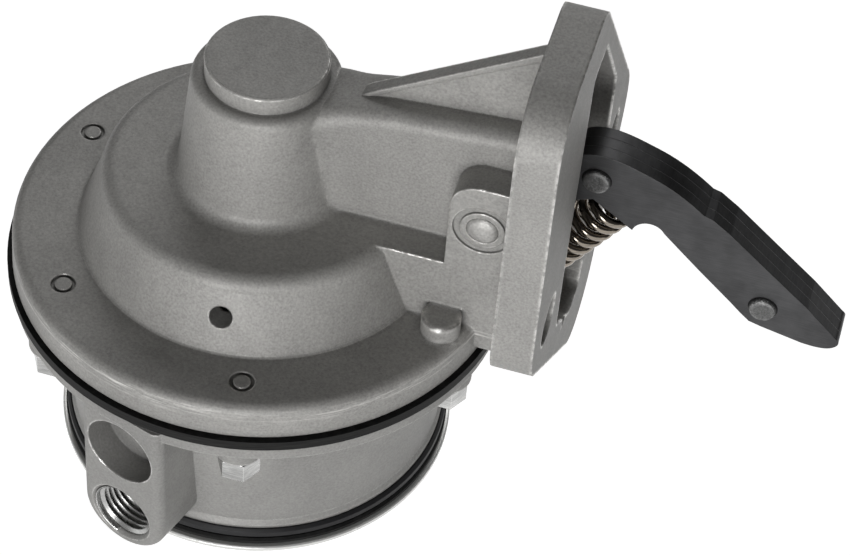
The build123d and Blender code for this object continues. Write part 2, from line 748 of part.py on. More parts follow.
with BuildPart() as lower_body:
    with BuildSketch(Plane.XZ):
        Polygon(
            (0, BODY_BOTTOM_Z),
            (WALL_FOOT_R + 0.6, BODY_BOTTOM_Z),
            (WALL_FOOT_R + 0.6, BODY_BOTTOM_Z + 0.8),
            (WALL_FOOT_R, BODY_BOTTOM_Z + 2.0),
            (WALL_TOP_R, FLANGE_LOW_Z - 2.2),
            (WALL_TOP_R + 2.2, FLANGE_LOW_Z),
            (LOWER_FLANGE_R - 0.5, FLANGE_LOW_Z),
            (LOWER_FLANGE_R, FLANGE_LOW_Z + 0.6),
            (LOWER_FLANGE_R, CLAMP_Z),
            (0, CLAMP_Z),
            align=None,
        )
    revolve(axis=Axis.Z)
    # lugs under the flange at the screws
    with BuildSketch(Plane.XY.offset(LUG_Z)):
        with Locations(*SCREW_POINTS):
            Circle(LUG_R)
    extrude(amount=CLAMP_Z - LUG_Z - 1.0)
    for turn in (1, -1):
        add(port_boss(turn))
    # room for the ring and the cover under the bosses
    with BuildSketch(Plane.XY.offset(0)):
        Circle(COVER_R + 0.6)
    extrude(amount=BODY_BOTTOM_Z, mode=Mode.SUBTRACT)
    # scallops round the screw heads
    with BuildSketch(Plane.XY.offset(SCALLOP_LOW_Z)):
        with Locations(*SCREW_POINTS):
            Circle(SCALLOP_R)
    extrude(amount=LUG_Z - SCALLOP_LOW_Z, mode=Mode.SUBTRACT)
    # pumping chamber under the diaphragm
    with BuildSketch(Plane.XZ):
        Polygon(
            (0, VALVE_WALL_TOP_Z),
            (PLATE_R + 2.0, VALVE_WALL_TOP_Z),
            (CHAMBER_R, VALVE_WALL_TOP_Z + 4.5),
            (CHAMBER_R + 2.0, CLAMP_Z),
            (0, CLAMP_Z),
            align=None,
        )
    revolve(axis=Axis.Z, mode=Mode.SUBTRACT)
    # two lower cavities with a rib and a hub between them
    with BuildSketch(Plane(origin=(0, 0, BODY_BOTTOM_Z), x_dir=side_dir, z_dir=(0, 0, 1))):
        Circle(CAVITY_R)
        Rectangle(2 * CAVITY_R + 2.0, 2 * RIB_HALF, mode=Mode.SUBTRACT)
        Circle(HUB_R, mode=Mode.SUBTRACT)
    extrude(amount=VALVE_WALL_LOW_Z - BODY_BOTTOM_Z, mode=Mode.SUBTRACT)
    # ports
    for turn in (1, -1):
        with BuildSketch(port_plane(turn, PORT_FACE - PORT_DEPTH)):
            with Locations((PORT_SIDE, PORT_Z)):
                Circle(PORT_R)
        extrude(amount=PORT_DEPTH + 1.0, mode=Mode.SUBTRACT)
        with BuildSketch(port_plane(turn, PORT_FACE)):
            with Locations((PORT_SIDE, PORT_Z)):
                Circle(PORT_MOUTH_R)
        extrude(amount=-(PORT_MOUTH_R - PORT_R), taper=45, mode=Mode.SUBTRACT)
        with BuildSketch(port_plane(turn, BOSS_ROOT)):
            with Locations((PORT_SIDE, PORT_Z)):
                Circle(PASSAGE_R)
        extrude(amount=PORT_FACE - PORT_DEPTH - BOSS_ROOT + 0.5, mode=Mode.SUBTRACT)
        with BuildSketch(port_plane(turn, PORT_FACE - RECESS_DEPTH)):
            with Locations((PORT_SIDE, RECESS_Z)):
                Circle(RECESS_R)
        extrude(amount=RECESS_DEPTH + 1.0, mode=Mode.SUBTRACT)
    # seats of the two valves
    with BuildSketch(Plane.XY.offset(VALVE_WALL_LOW_Z - 1.0)):
        for turn in (1, -1):
            with Locations(port_dir * VALVE_SIDE * turn):
                Circle(CAGE_R)
    extrude(amount=VALVE_WALL_TOP_Z - VALVE_WALL_LOW_Z + 2.0, mode=Mode.SUBTRACT)
    # screw holes and the blind hole of the cover screw
    with BuildSketch(Plane.XY.offset(LUG_Z - 1.0)):
        with Locations(*SCREW_POINTS):
            Circle(SCREW_HOLE_R)
    extrude(amount=CLAMP_Z - LUG_Z + 2.0, mode=Mode.SUBTRACT)
    with BuildSketch(Plane.XY.offset(BODY_BOTTOM_Z)):
        Circle(COVER_SCREW_R + ROD_CLEAR)
    extrude(amount=14.0, mode=Mode.SUBTRACT)
save(lower_body.part, "lower_body")


def valve_cage():
    # seat at the bottom, bridge at the top
    with BuildPart() as cage:
        with BuildSketch(Plane.XY):
            Circle(CAGE_R)
            Circle(SEAT_HOLE_R, mode=Mode.SUBTRACT)
        extrude(amount=1.0)
        with BuildSketch(Plane.XY):
            Circle(CAGE_R)
            Circle(CAGE_BORE_R, mode=Mode.SUBTRACT)
        extrude(amount=CAGE_H)
        with BuildSketch(Plane.XY.offset(CAGE_H - BRIDGE_T)):
            Rectangle(2 * CAGE_BORE_R + 1.0, 4.0)
            Circle(VSPRING_R + 0.8)
        extrude(amount=BRIDGE_T)
    return cage.part


def valve_disc():
    with BuildPart() as disc:
        with BuildSketch(Plane.XY.offset(1.0 + VALVE_GAP)):
            Circle(DISC_R)
        extrude(amount=DISC_T)
    return disc.part


VSPRING_LOW = 1.0 + VALVE_GAP + DISC_T
VSPRING_LEN = CAGE_H - BRIDGE_T - VSPRING_LOW
INLET_CAGE_Z = VALVE_WALL_LOW_Z - 2.0
OUTLET_CAGE_Z = VALVE_WALL_TOP_Z
inlet_at = Pos(port_dir.X * VALVE_SIDE, port_dir.Y * VALVE_SIDE, INLET_CAGE_Z)
outlet_at = Pos(-port_dir.X * VALVE_SIDE, -port_dir.Y * VALVE_SIDE, OUTLET_CAGE_Z)
outlet_at = outlet_at * Rot(180, 0, 0)
valve_spring = Pos(0, 0, VSPRING_LOW) * coil(VSPRING_R, VSPRING_WIRE, VSPRING_LEN, 3.0, 5)
for name, place in (("inlet", inlet_at), ("outlet", outlet_at)):
    save(place * valve_cage(), f"{name}_valve_cage")
    save(place * valve_disc(), f"{name}_valve_disc")
    save(place * valve_spring, f"{name}_valve_spring")

# Gasket and pulsator diaphragm between the lower casting and the cover
GASKET_Z = BODY_BOTTOM_Z - GASKET_T
PULSATOR_Z = GASKET_Z - PULSATOR_T
with BuildPart() as pulsator_gasket:
    with BuildSketch(Plane.XZ):
        Polygon(
            (CAVITY_R, GASKET_Z),
            (GASKET_R - 0.6, GASKET_Z),
            (GASKET_R, GASKET_Z + 0.7),
            (GASKET_R, BODY_BOTTOM_Z - 0.7),
            (GASKET_R - 0.6, BODY_BOTTOM_Z),
            (CAVITY_R, BODY_BOTTOM_Z),
            align=None,
        )
    revolve(axis=Axis.Z)
save(pulsator_gasket.part, "pulsator_gasket")

with BuildPart() as pulsator_diaphragm:
    with BuildSketch(Plane.XZ):
        Polygon(
            (COVER_SCREW_R + 0.1, PULSATOR_Z),
            (PULSATOR_R - 0.5, PULSATOR_Z),
            (PULSATOR_R, PULSATOR_Z + 0.5),
            (PULSATOR_R, GASKET_Z - 0.5),
            (PULSATOR_R - 0.5, GASKET_Z),
            (COVER_SCREW_R + 0.1, GASKET_Z),
            align=None,
        )
    revolve(axis=Axis.Z)
save(pulsator_diaphragm.part, "pulsator_diaphragm")

# Pressed cover: flat rim, dish and a recessed centre for the screw
with BuildPart() as pulsator_cover:
    with BuildSketch(Plane.XZ):
        Polygon(
            (COVER_SCREW_R + 0.2, COVER_RECESS_H),
            (COVER_RECESS_R - 1.5, COVER_RECESS_H),
            (COVER_RECESS_R + 1.5, 0),
            (COVER_FLOOR_R, 0),
            (COVER_DISH_R + 1.2, COVER_RIM_Z),
            (COVER_R - 0.3, COVER_RIM_Z),
            (COVER_R, COVER_RIM_Z + 0.4),
            (COVER_R, COVER_RIM_Z + COVER_T - 0.3),
            (COVER_R - 0.3, COVER_RIM_Z + COVER_T),
            (COVER_DISH_R, COVER_RIM_Z + COVER_T),
            (COVER_FLOOR_R - 1.2, COVER_T),
            (COVER_RECESS_R + 2.6, COVER_T),
            (COVER_RECESS_R - 0.6, COVER_RIM_Z + COVER_T),
            (COVER_SCREW_R + 0.2, COVER_RIM_Z + COVER_T),
            align=None,
        )
    revolve(axis=Axis.Z)
save(pulsator_cover.part, "pulsator_cover")

# Cover screw and its washer, in the recess of the cover
with BuildPart() as cover_washer:
    with BuildSketch(Plane.XY.offset(COVER_RECESS_H - 0.8)):
        Circle(6.0)
        Circle(COVER_SCREW_R + 0.1, mode=Mode.SUBTRACT)
    extrude(amount=0.8)
save(cover_washer.part, "cover_washer")

HEAD_TOP = COVER_RECESS_H - 0.8
with BuildPart() as cover_screw:
    with BuildSketch(Plane.XY.offset(HEAD_TOP - COVER_HEAD_H)):
        RegularPolygon(COVER_HEAD_AF / 2, 6, major_radius=False)
    extrude(amount=COVER_HEAD_H)
    with BuildSketch(Plane.XY.offset(HEAD_TOP)):
        Circle(COVER_SCREW_R)
    extrude(amount=BODY_BOTTOM_Z + 12.0 - HEAD_TOP)
save(cover_screw.part, "cover_screw")

# Six flange screws with lock washers
with BuildPart() as lock_washers:
    for x, y in SCREW_POINTS:
        angle = degrees(atan2(y, x))
        with BuildSketch(Plane.XY.offset(LUG_Z - WASHER_T)):
            with Locations((x, y)):
                Circle(WASHER_R)
                Circle(SCREW_HOLE_R, mode=Mode.SUBTRACT)
            with Locations(Pos(x, y, 0) * Rot(0, 0, angle) * Pos(WASHER_R - 0.8, 0, 0)):
                Rectangle(3.4, 0.7, mode=Mode.SUBTRACT)
        extrude(amount=WASHER_T)
save(lock_washers.part, "lock_washers")

SHANK_TOP_Z = SPLIT_Z + RIM_H - 2.6
with BuildPart() as flange_screws:
    with BuildSketch(Plane.XY.offset(LUG_Z - WASHER_T - HEAD_H)):
        with Locations(*SCREW_POINTS):
            RegularPolygon(HEAD_AF / 2, 6, major_radius=False)
    extrude(amount=HEAD_H)
    with BuildSketch(Plane.XY.offset(LUG_Z - WASHER_T)):
        with Locations(*SCREW_POINTS):
            Circle(SCREW_R)
    extrude(amount=SHANK_TOP_Z - LUG_Z + WASHER_T)
save(flange_screws.part, "flange_screws")
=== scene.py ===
import json
import math

import bmesh
import bpy
from mathutils import Matrix, Vector

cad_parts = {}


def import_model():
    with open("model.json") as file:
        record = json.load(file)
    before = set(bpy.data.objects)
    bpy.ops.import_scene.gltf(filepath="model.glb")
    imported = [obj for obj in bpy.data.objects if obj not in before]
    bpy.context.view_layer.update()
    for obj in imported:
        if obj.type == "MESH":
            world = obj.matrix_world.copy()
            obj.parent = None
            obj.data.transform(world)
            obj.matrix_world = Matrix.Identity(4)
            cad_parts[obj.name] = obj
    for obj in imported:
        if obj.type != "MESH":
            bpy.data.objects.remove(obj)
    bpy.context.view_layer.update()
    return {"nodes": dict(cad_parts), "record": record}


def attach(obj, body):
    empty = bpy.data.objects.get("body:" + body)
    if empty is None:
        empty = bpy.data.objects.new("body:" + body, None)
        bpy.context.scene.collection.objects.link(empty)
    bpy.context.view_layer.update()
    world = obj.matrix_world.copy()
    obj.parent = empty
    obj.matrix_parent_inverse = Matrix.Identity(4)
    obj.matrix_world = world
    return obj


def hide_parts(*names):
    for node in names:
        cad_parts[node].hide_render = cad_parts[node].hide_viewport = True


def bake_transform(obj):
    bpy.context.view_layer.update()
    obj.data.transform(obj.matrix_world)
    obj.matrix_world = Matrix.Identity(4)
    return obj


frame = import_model()
nodes = frame["nodes"]
scene = bpy.context.scene

MM = 0.001
SPLIT_Z = 54.0

# camera: direction and roll in degrees, the rest in millimetres
CAMERA_TURNS = (12.0, 46.89, 5.43)
CAMERA_PLACE = (118.3, -384.9, 424.0 + SPLIT_Z)
CAMERA_SENSOR = 36.0
CAMERA_LENS = 114.35

# material tools: samples of the edge and hollow nodes, and the width of soft borders in mm
EDGE_SAMPLES = 6
HOLLOW_SAMPLES = 4
BLEND_FADE = 1.5
RIM_FADE = 0.6

# noise scales of the castings: fine grain, coarse grain and large clouds
FINE_GRAIN = 1900.0
COARSE_GRAIN = 420.0
CLOUD_GRAIN = 45.0

# where an edge of a casting is rubbed
RUBBED_ROUGH = 0.32
RUBBED_METALLIC = 0.8

# ports: direction of the inlet, offset to its side, height, and the thread inside in mm
PORT_ANGLE = math.radians(252.7)
PORT_SIDE = 2.3
PORT_Z = 18.5
THREAD_PITCH = 1.41
THREAD_START = 41.6
THREAD_LENGTH = 10.9
THREAD_ROOT_R = 6.88
THREAD_CREST_R = 6.02
THREAD_STEPS = 40

# springs: turns laid flat at each end, their lead in wire radii, steps per turn, sides of the wire
CLOSED_TURNS = 0.8
CLOSED_LEAD = 2.05
RING_STEPS = 30
WIRE_SIDES = 12

# distance of each valve's axis from the middle, and the two ends of each valve spring, in mm
VALVE_REACH = 17.0
INLET_SPRING_ENDS = (43.2, 38.05)
OUTLET_SPRING_ENDS = (34.8, 39.95)

# floor and world
FLOOR_SIZE = 6.0
FLOOR_GREY = 0.50
FLOOR_GLOW = 0.90
WORLD_LIGHT = 0.11


# camera at the photograph's viewing angle
def look():
    azimuth, elevation, roll = (math.radians(turn) for turn in CAMERA_TURNS)
    right = Vector((math.cos(azimuth), math.sin(azimuth), 0))
    toward = Vector((
        math.sin(azimuth) * math.cos(elevation),
        -math.cos(azimuth) * math.cos(elevation),
        math.sin(elevation),
    ))
    up = toward.cross(right)
    right_r = right * math.cos(roll) + up * math.sin(roll)
    up_r = up * math.cos(roll) - right * math.sin(roll)
    place = Vector(CAMERA_PLACE) * MM
    turn = Matrix((right_r, up_r, toward)).transposed().to_4x4()
    data = bpy.data.cameras.new("camera")
    data.sensor_width = CAMERA_SENSOR
    data.lens = CAMERA_LENS
    data.clip_start = 0.01
    data.clip_end = 20.0
    camera = bpy.data.objects.new("camera", data)
    camera.matrix_world = Matrix.Translation(place) @ turn
    scene.collection.objects.link(camera)
    scene.camera = camera


look()


# material tools
class Nodes:
    def __init__(self, name):
        self.mat = bpy.data.materials.new(name)
        self.mat.use_nodes = True
        self.tree = self.mat.node_tree
        self.tree.nodes.clear()
        self.out = self.add("ShaderNodeOutputMaterial")
        self.bsdf = self.add("ShaderNodeBsdfPrincipled")
        self.join(self.bsdf, "BSDF", self.out, "Surface")
        self.coords = self.add("ShaderNodeTexCoord")

    def add(self, kind, **settings):
        node = self.tree.nodes.new(kind)
        for key, value in settings.items():
            setattr(node, key, value)
        return node

    def join(self, a, out, b, into):
        self.tree.links.new(a.outputs[out], b.inputs[into])

    def noise(self, scale, detail=2.0, rough=0.5, stretch=(1, 1, 1), distortion=0.0):
        mapping = self.add("ShaderNodeMapping")
        mapping.inputs["Scale"].default_value = stretch
        self.join(self.coords, "Object", mapping, "Vector")
        node = self.add("ShaderNodeTexNoise")
        node.inputs["Scale"].default_value = scale
        node.inputs["Detail"].default_value = detail
        node.inputs["Roughness"].default_value = rough
        node.inputs["Distortion"].default_value = distortion
        self.join(mapping, "Vector", node, "Vector")
        return node

    def ramp(self, source, out, stops):
        node = self.add("ShaderNodeValToRGB")
        self.join(source, out, node, "Fac")
        ramp = node.color_ramp
        while len(ramp.elements) < len(stops):
            ramp.elements.new(0.5)
        for element, (place, value) in zip(ramp.elements, stops):
            element.position = place
            colour = value if isinstance(value, tuple) else (value, value, value)
            element.color = (*colour, 1.0)
        return node

    def mix(self, kind, fac, a, b):
        node = self.add("ShaderNodeMix", data_type="RGBA", blend_type=kind)
        for socket, value in ((0, fac), (6, a), (7, b)):
            if isinstance(value, tuple) and len(value) == 2:
                self.tree.links.new(value[0].outputs[value[1]], node.inputs[socket])
            elif isinstance(value, tuple):
                node.inputs[socket].default_value = (*value, 1.0)
            else:
                node.inputs[socket].default_value = value
        return node

    def bump(self, source, out, depth, strength=1.0, under=None):
        node = self.add("ShaderNodeBump")
        node.inputs["Distance"].default_value = depth * MM
        node.inputs["Strength"].default_value = strength
        self.join(source, out, node, "Height")
        if under is not None:
            self.join(under, "Normal", node, "Normal")
        return node

    def band(self, source, out, low, high, fade):
        # 1 between two values and 0 outside them, in millimetres
        sides = []
        for edge, sign in ((low, 1.0), (high, -1.0)):
            step = self.add("ShaderNodeMapRange")
            step.inputs["From Min"].default_value = (edge - sign * fade) * MM
            step.inputs["From Max"].default_value = (edge + sign * fade) * MM
            self.join(source, out, step, "Value")
            sides.append(step)
        both = self.add("ShaderNodeMath", operation="MULTIPLY")
        self.join(sides[0], "Result", both, 0)
        self.join(sides[1], "Result", both, 1)
        return both

    def inside(self, source, box, fade):
        # 1 inside a box given as (low, high) along X, Y and Z
        bands = [self.band(source, axis, low, high, fade) for axis, (low, high) in zip("XYZ", box)]
        product = bands[0]
        for nxt in bands[1:]:
            joined = self.add("ShaderNodeMath", operation="MULTIPLY")
            self.join(product, 0, joined, 0)
            self.join(nxt, 0, joined, 1)
            product = joined
        return product

    def edges(self, radius, blends=()):
        # how far the rounded normal departs from the face's own, near an edge
        bevel = self.add("ShaderNodeBevel", samples=EDGE_SAMPLES)
        bevel.inputs["Radius"].default_value = radius * MM
        if blends:
            split = self.add("ShaderNodeSeparateXYZ")
            self.join(self.coords, "Object", split, 0)
            before = None
            for box, wide_radius in blends:
                wide = self.add("ShaderNodeMath", operation="MULTIPLY_ADD")
                self.join(self.inside(split, box, BLEND_FADE), 0, wide, 0)
                wide.inputs[1].default_value = (wide_radius - radius) * MM
                wide.inputs[2].default_value = radius * MM
                if before is not None:
                    self.join(before, 0, wide, 2)
                before = wide
            self.join(before, 0, bevel, "Radius")
        face = self.add("ShaderNodeNewGeometry")
        dot = self.add("ShaderNodeVectorMath", operation="DOT_PRODUCT")
        self.join(bevel, "Normal", dot, 0)
        self.tree.links.new(face.outputs["Normal"], dot.inputs[1])
        return bevel, dot


def casting(name, base, grain, bump, rough, metallic, bevel=0.75, blends=(), reach=2.6, rim=None):
    n = Nodes(name)
    round_edge, facing = n.edges(bevel, blends)
    fine = n.noise(FINE_GRAIN, 3.0, 0.62)
    coarse = n.noise(COARSE_GRAIN, 3.0, 0.55)
    patch = n.noise(CLOUD_GRAIN, 3.0, 0.6, distortion=0.4)
    dark = tuple(v * (1.0 - grain) for v in base)
    light = tuple(min(1.0, v * (1.0 + grain)) for v in base)
    speck = n.ramp(fine, "Fac", [(0.30, dark), (0.70, light)])
    cloud = n.ramp(patch, "Fac", [(0.32, 0.88), (0.66, 1.08)])
    tone = n.mix("MULTIPLY", 1.0, (speck, 0), (cloud, 0))
    # painted shade: the colour darkens in the corners and hollows, where the hollow node finds
    # little open space
    hollow = n.add("ShaderNodeAmbientOcclusion", samples=HOLLOW_SAMPLES)
    hollow.inputs["Distance"].default_value = reach * MM
    dust_and_shade = n.ramp(hollow, "AO", [(0.25, 0.48), (0.86, 1.0)])
    toned = n.mix("MULTIPLY", 1.0, (tone, 2), (dust_and_shade, 0))
    # rubbed specks along the outer edges: wear, and a painted highlight where the edges are
    # painted brighter
    worn_and_highlit = n.ramp(facing, "Value", [(0.88, 1.0), (0.992, 0.0)])
    outer = n.ramp(hollow, "AO", [(0.72, 0.0), (0.92, 1.0)])
    rubs_and_glints = n.ramp(n.noise(620.0, 3.0, 0.6), "Fac", [(0.40, 0.25), (0.56, 1.0)])
    edge = n.mix("MULTIPLY", 1.0, (worn_and_highlit, 0), (outer, 0))
    rubbed_and_highlit = n.mix("MULTIPLY", 1.0, (edge, 2), (rubs_and_glints, 0))
    bright = tuple(min(1.0, v * 2.1 + 0.12) for v in base)
    colour = n.mix("MIX", (rubbed_and_highlit, 2), (toned, 2), bright)
    if rim is not None:
        # turned band round the outside, rubbed bright in fine level streaks
        split = n.add("ShaderNodeSeparateXYZ")
        n.join(n.coords, "Object", split, 0)
        level = n.band(split, "Z", rim[0], rim[1], RIM_FADE)
        turned = n.noise(95.0, 4.0, 0.65, stretch=(1.0, 1.0, 20.0))
        streaks = n.ramp(turned, "Fac", [(0.50, 0.0), (0.70, 0.80)])
        band = n.mix("MULTIPLY", 1.0, (level, 0), (streaks, 0))
        colour = n.mix("MIX", (band, 2), (colour, 2), bright)
    n.join(colour, 2, n.bsdf, "Base Color")
    gloss = n.add("ShaderNodeMapRange")
    gloss.inputs["To Min"].default_value = rough
    gloss.inputs["To Max"].default_value = rough + 0.16
    n.join(coarse, "Fac", gloss, "Value")
    sleek = n.mix("MIX", (rubbed_and_highlit, 2), (gloss, "Result"), (RUBBED_ROUGH,) * 3)
    n.join(sleek, 2, n.bsdf, "Roughness")
    shine = n.mix("MIX", (rubbed_and_highlit, 2), (metallic,) * 3, (RUBBED_METALLIC,) * 3)
    n.join(shine, 2, n.bsdf, "Metallic")
    first = n.bump(coarse, "Fac", 0.10, 0.5, round_edge)
    second = n.bump(fine, "Fac", bump, 0.9, first)
    n.join(second, "Normal", n.bsdf, "Normal")
    return n.mat


def steel(name, base, rough, scratch=0.12, metallic=1.0, spots=0.0, bevel=0.25, worn_and_highlit_tone=None):
    n = Nodes(name)
    round_edge, facing = n.edges(bevel)
    lines = n.noise(260.0, 4.0, 0.6, stretch=(1.0, 1.0, 14.0))
    cloud = n.noise(110.0, 3.0, 0.6)
    dark = tuple(v * (1.0 - scratch) for v in base)
    light = tuple(min(1.0, v * (1.0 + scratch)) for v in base)
    tone = n.ramp(lines, "Fac", [(0.30, dark), (0.70, light)])
    blotch = n.ramp(cloud, "Fac", [(0.35, 1.0 - spots), (0.65, 1.0)])
    mixed = n.mix("MULTIPLY", 1.0, (tone, 0), (blotch, 0))
    # edges painted brighter: partly wear, partly a painted highlight
    worn_and_highlit = n.ramp(facing, "Value", [(0.78, 1.0), (0.98, 0.0)])
    edge = worn_and_highlit_tone or tuple(min(1.0, v * 1.5 + 0.05) for v in base)
    colour = n.mix("MIX", (worn_and_highlit, 0), (mixed, 2), edge)
    n.join(colour, 2, n.bsdf, "Base Color")
    gloss = n.add("ShaderNodeMapRange")
    gloss.inputs["To Min"].default_value = max(0.05, rough - 0.08)
    gloss.inputs["To Max"].default_value = rough + 0.10
    n.join(cloud, "Fac", gloss, "Value")
    n.join(gloss, "Result", n.bsdf, "Roughness")
    n.bsdf.inputs["Metallic"].default_value = metallic
    bump = n.bump(lines, "Fac", 0.02, 0.4, round_edge)
    n.join(bump, "Normal", n.bsdf, "Normal")
    return n.mat


def rubber(name, base, rough, shine=0.5):
    n = Nodes(name)
    n.bsdf.inputs["Specular IOR Level"].default_value = shine
    round_edge, facing = n.edges(0.3)
    dust_and_shade = n.noise(500.0, 4.0, 0.65)
    cloud = n.noise(60.0, 3.0, 0.6)
    dark = tuple(v * 0.75 for v in base)
    light = tuple(v * 1.5 for v in base)
    tone = n.ramp(cloud, "Fac", [(0.35, dark), (0.70, light)])
    pale = n.ramp(dust_and_shade, "Fac", [(0.56, 0.0), (0.80, 0.35)])
    colour = n.mix("MIX", (pale, 0), (tone, 0), tuple(v * 2.6 for v in base))
    n.join(colour, 2, n.bsdf, "Base Color")
    n.bsdf.inputs["Metallic"].default_value = 0.0
    gloss = n.add("ShaderNodeMapRange")
    gloss.inputs["To Min"].default_value = rough - 0.07
    gloss.inputs["To Max"].default_value = rough + 0.10
    n.join(dust_and_shade, "Fac", gloss, "Value")
    n.join(gloss, "Result", n.bsdf, "Roughness")
    bump = n.bump(dust_and_shade, "Fac", 0.05, 0.6, round_edge)
    n.join(bump, "Normal", n.bsdf, "Normal")
    return n.mat


def layered_rubber(name):
    # fabric-reinforced sheet: black on its faces, dark grey with fine lines on its cut edge
    n = Nodes(name)
    face = n.add("ShaderNodeNewGeometry")
    split = n.add("ShaderNodeSeparateXYZ")
    n.join(face, "Normal", split, 0)
    flat = n.add("ShaderNodeMath", operation="ABSOLUTE")
    n.join(split, "Z", flat, 0)
    lines = n.noise(170.0, 4.0, 0.6, stretch=(1.0, 1.0, 16.0))
    cut = n.ramp(lines, "Fac", [(0.38, (0.005, 0.005, 0.005)), (0.68, (0.026, 0.026, 0.025))])
    top = n.ramp(n.noise(500.0, 3.0, 0.6), "Fac", [(0.40, 0.006), (0.75, 0.018)])
    where = n.ramp(flat, 0, [(0.30, 0.0), (0.60, 1.0)])
    colour = n.mix("MIX", (where, 0), (cut, 0), (top, 0))
    n.join(colour, 2, n.bsdf, "Base Color")
    gloss = n.ramp(lines, "Fac", [(0.30, 0.50), (0.70, 0.72)])
    n.join(gloss, 0, n.bsdf, "Roughness")
    n.bsdf.inputs["Specular IOR Level"].default_value = 0.14
    bump = n.bump(lines, "Fac", 0.05, 0.6)
    n.join(bump, "Normal", n.bsdf, "Normal")
    return n.mat


CAST = (0.375, 0.368, 0.353)
# the lower casting painted darker than the upper one: painted shade under the mounting flange
LOWER_CAST_SHADED = (0.335, 0.330, 0.318)
# heights between which the rim is turned
RIM_BAND = (58.8, 61.4)
# wide soft blends, each a box along X, Y and Z and a radius: the neck out of the tower, the foot
# of the neck, the raised boss on the rim and the edges of the mounting flange, worn and with a
# wider painted highlight
BLENDS = (
    (((5.0, 22.0), (-16.0, 16.0), (83.5, 104.5)), 3.2),
    (((13.0, 44.0), (-10.0, 10.0), (78.4, 82.4)), 1.8),
    (((38.0, 51.0), (-24.0, -10.0), (60.0, 68.0)), 2.4),
    (((58.0, 70.0), (-50.0, 50.0), (45.0, 155.0)), 1.2),
)
looks = {
    "casting_upper": casting(
        "cast_upper", CAST, 0.20, 0.060, 0.48, 0.20, blends=BLENDS, rim=RIM_BAND
    ),
    # painted shade: the lower casting's hollows darken over a longer reach, deep into the port
    # recess
    "casting_lower": casting("cast_lower", LOWER_CAST_SHADED, 0.15, 0.055, 0.46, 0.20, reach=7.0),
    "pin_steel": casting("pin_steel", (0.44, 0.432, 0.416), 0.22, 0.050, 0.40, 0.45),
    "arm_steel": steel(
        "arm_steel", (0.078, 0.078, 0.080), 0.42, 0.14, 0.9, 0.3, worn_and_highlit_tone=(0.10, 0.10, 0.10)
    ),
    "rivet_steel": casting("rivet_steel", (0.105, 0.105, 0.104), 0.45, 0.160, 0.38, 0.75, 1.6),
    "spring_steel": steel("spring_steel", (0.27, 0.238, 0.20), 0.12, 0.30),
    "link_steel": steel("link_steel", (0.30, 0.30, 0.30), 0.35),
    "seal_rubber": rubber("seal_rubber", (0.03, 0.03, 0.03), 0.6),
    "plated_steel": steel("plated_steel", (0.66, 0.65, 0.58), 0.30),
    "diaphragm_rubber": layered_rubber("diaphragm_rubber"),
    "gasket_rubber": rubber("gasket_rubber", (0.010, 0.010, 0.011), 0.46, 0.25),
    "valve_brass": steel("valve_brass", (0.70, 0.55, 0.28), 0.30),
    "valve_spring_steel": steel("valve_spring_steel", (0.6, 0.6, 0.6), 0.25),
    "cover_plated": steel("cover_plated", (0.80, 0.80, 0.78), 0.24, 0.05, 0.50),
    "screw_plated": steel("screw_plated", (0.60, 0.60, 0.59), 0.24, 0.22, 0.9, spots=0.35),
}
slot_of = {entry["node"]: entry["material_slot"] for entry in frame["record"]["subparts"]}
for name, node in nodes.items():
    mat = looks[slot_of[name]]
    if node.material_slots:
        for place in node.material_slots:
            place.material = mat
    else:
        node.data.materials.append(mat)


def link_mesh(name, bm, mat, body, smooth=35.0):
    mesh = bpy.data.meshes.new(name)
    bm.normal_update()
    bm.to_mesh(mesh)
    bm.free()
    for face in mesh.polygons:
        face.use_smooth = True
    mesh.set_sharp_from_angle(angle=math.radians(smooth))
    mesh.materials.append(mat)
    obj = bpy.data.objects.new(name, mesh)
    scene.collection.objects.link(obj)
    if body is not None:
        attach(obj, body)
    return obj


# pipe threads inside the two ports, freshly cut and brighter than the casting
thread_look = steel("thread_cut", (0.56, 0.56, 0.55), 0.26, 0.14, 0.75, spots=0.2, bevel=0.15)


def port_thread(name, turn):
    outward = Vector((math.cos(PORT_ANGLE), math.sin(PORT_ANGLE), 0)) * turn
    side = Vector((-outward.y, outward.x, 0))
    up = Vector((0, 0, 1))
    turns = THREAD_LENGTH / THREAD_PITCH
    steps = int(turns * THREAD_STEPS)
    bm = bmesh.new()
    rows = []
    for index in range(steps + 1):
        along = index / THREAD_STEPS
        angle = 2 * math.pi * along
        taper = min(1.0, along * 1.5, (turns - along) * 1.5)
        crest = THREAD_ROOT_R - (THREAD_ROOT_R - THREAD_CREST_R) * max(0.02, taper)
        base = THREAD_START + along * THREAD_PITCH
        row = []
        for offset, radius in (
            (0.0, THREAD_ROOT_R),
            (THREAD_PITCH * 0.40, crest),
            (THREAD_PITCH * 0.52, crest),
            (THREAD_PITCH * 0.92, THREAD_ROOT_R),
        ):
            ring = side * (radius * math.cos(angle)) + up * (radius * math.sin(angle))
            place = outward * (base + offset) + ring + side * PORT_SIDE + up * PORT_Z
            row.append(bm.verts.new(place * MM))
        rows.append(row)
    for a, b in zip(rows, rows[1:]):
        for k in range(3):
            bm.faces.new((a[k], b[k], b[k + 1], a[k + 1]))
        bm.faces.new((a[3], b[3], b[0], a[0]))
    bm.faces.new(rows[0])
    bm.faces.new(tuple(reversed(rows[-1])))
    bmesh.ops.recalc_face_normals(bm, faces=bm.faces)
    link_mesh(name, bm, thread_look, "housing", 50.0)


port_thread("inlet_thread", 1)
port_thread("outlet_thread", -1)
